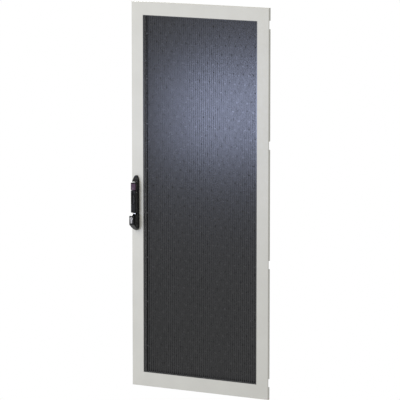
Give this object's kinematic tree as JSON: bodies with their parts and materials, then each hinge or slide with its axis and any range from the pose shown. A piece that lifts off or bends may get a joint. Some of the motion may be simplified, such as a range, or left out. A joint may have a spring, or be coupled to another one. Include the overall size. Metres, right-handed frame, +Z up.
{
  "type": "perforated rack door",
  "caption": "Light grey sheet-steel rack door with a black slotted infill, concealed hinges, a stiffener frame and a black swing handle that draws two latch rods.",
  "frame": {"origin": "middle of the two fixing holes of the lowest hinge block, on the face that meets the cabinet", "axes": "+X to the right seen from the front, +Y from the front face into the cabinet, +Z up along the hinge axis"},
  "size_m": [0.796, 0.0904, 1.99],
  "materials": {
    "frame_paint": "light grey textured powder coat",
    "panel_paint": "black semi-gloss powder coat",
    "zinc": "zinc-plated steel or zinc casting",
    "steel": "bare or nickel-plated steel",
    "foam": "black open-cell filter mat",
    "rubber": "black rubber",
    "copper": "copper-plated steel",
    "black_plastic": "black glass-filled plastic with a satin surface",
    "plum_plastic": "plum plastic"
  },
  "bodies": {
    "cabinet_side": {"hinge_block_1": "zinc", "hinge_block_2": "zinc", "hinge_block_3": "zinc", "hinge_block_4": "zinc"},
    "door": {"door_leaf": "frame_paint", "perforated_panel": "panel_paint", "tube_left": "frame_paint", "tube_right": "frame_paint", "tube_top": "frame_paint", "tube_bottom": "frame_paint", "tube_studs": "zinc", "tube_nuts": "zinc", "filter_mat": "foam", "filter_clips": "zinc", "clip_screws": "zinc", "hinge_bracket_1": "zinc", "hinge_bracket_2": "zinc", "hinge_bracket_3": "zinc", "hinge_bracket_4": "zinc", "hinge_pin_1": "steel", "hinge_pin_2": "steel", "hinge_pin_3": "steel", "hinge_pin_4": "steel", "pin_clips": "steel", "bracket_studs": "zinc", "bracket_nuts": "zinc", "door_buffers": "rubber", "earth_stud": "copper", "handle_base": "black_plastic", "handle_gasket": "rubber", "handle_screws": "zinc", "lock_cylinder": "steel", "cylinder_screw": "zinc", "lock_case": "zinc", "case_cover": "zinc", "case_screws": "zinc", "rod_guide_1": "black_plastic", "rod_guide_2": "black_plastic", "rod_guide_3": "black_plastic", "rod_guide_4": "black_plastic"},
    "head": {"handle_hub": "black_plastic", "lever_pin": "steel", "handle_spindle": "steel", "hub_clip": "steel", "pinion": "steel", "button_spring": "steel"},
    "lever": {"swing_lever": "black_plastic"},
    "button": {"release_button": "plum_plastic"},
    "plug": {"cylinder_plug": "steel"},
    "bolt": {"lock_bolt": "steel"},
    "upper_rod": {"rod_upper": "zinc", "latch_studs_upper": "steel"},
    "lower_rod": {"rod_lower": "zinc", "latch_studs_lower": "steel"}
  },
  "joints": [
    {"name": "door_swing", "type": "hinge", "parent": "cabinet_side", "child": "door", "pos_m": [0.0244, -0.014, 0], "axis": [0, 0, 1], "range_deg": [0, 130]},
    {"name": "handle_turn", "type": "hinge", "parent": "door", "child": "head", "pos_m": [-0.7331, -0.022, 0.953], "axis": [0, -1, 0], "range_deg": [0, 90]},
    {"name": "lever_pull", "type": "hinge", "parent": "head", "child": "lever", "pos_m": [-0.7331, -0.051, 0.926], "axis": [-1, 0, 0], "range_deg": [0, 35]},
    {"name": "button_press", "type": "slide", "parent": "head", "child": "button", "axis": [0, 1, 0], "range_m": [0, 0.003], "stiffness_N_per_m": 600, "springref_m": -0.002, "deforming": ["button_spring"]},
    {"name": "plug_turn", "type": "hinge", "parent": "door", "child": "plug", "pos_m": [-0.7331, -0.022, 0.793], "axis": [0, -1, 0], "range_deg": [0, 90]},
    {"name": "bolt_slide", "type": "slide", "parent": "door", "child": "bolt", "axis": [0, 0, 1], "range_m": [0, 0.007]},
    {"name": "upper_rod_slide", "type": "slide", "parent": "door", "child": "upper_rod", "axis": [0, 0, -1], "range_m": [0, 0.011]},
    {"name": "lower_rod_slide", "type": "slide", "parent": "door", "child": "lower_rod", "axis": [0, 0, 1], "range_m": [0, 0.011]}
  ],
  "couplings": [
    {"joint": "upper_rod_slide", "follows": "handle_turn", "m_per_rad": 0.007},
    {"joint": "lower_rod_slide", "follows": "handle_turn", "m_per_rad": 0.007},
    {"joint": "plug_turn", "follows": "bolt_slide", "rad_per_m": 224.39}
  ]
}
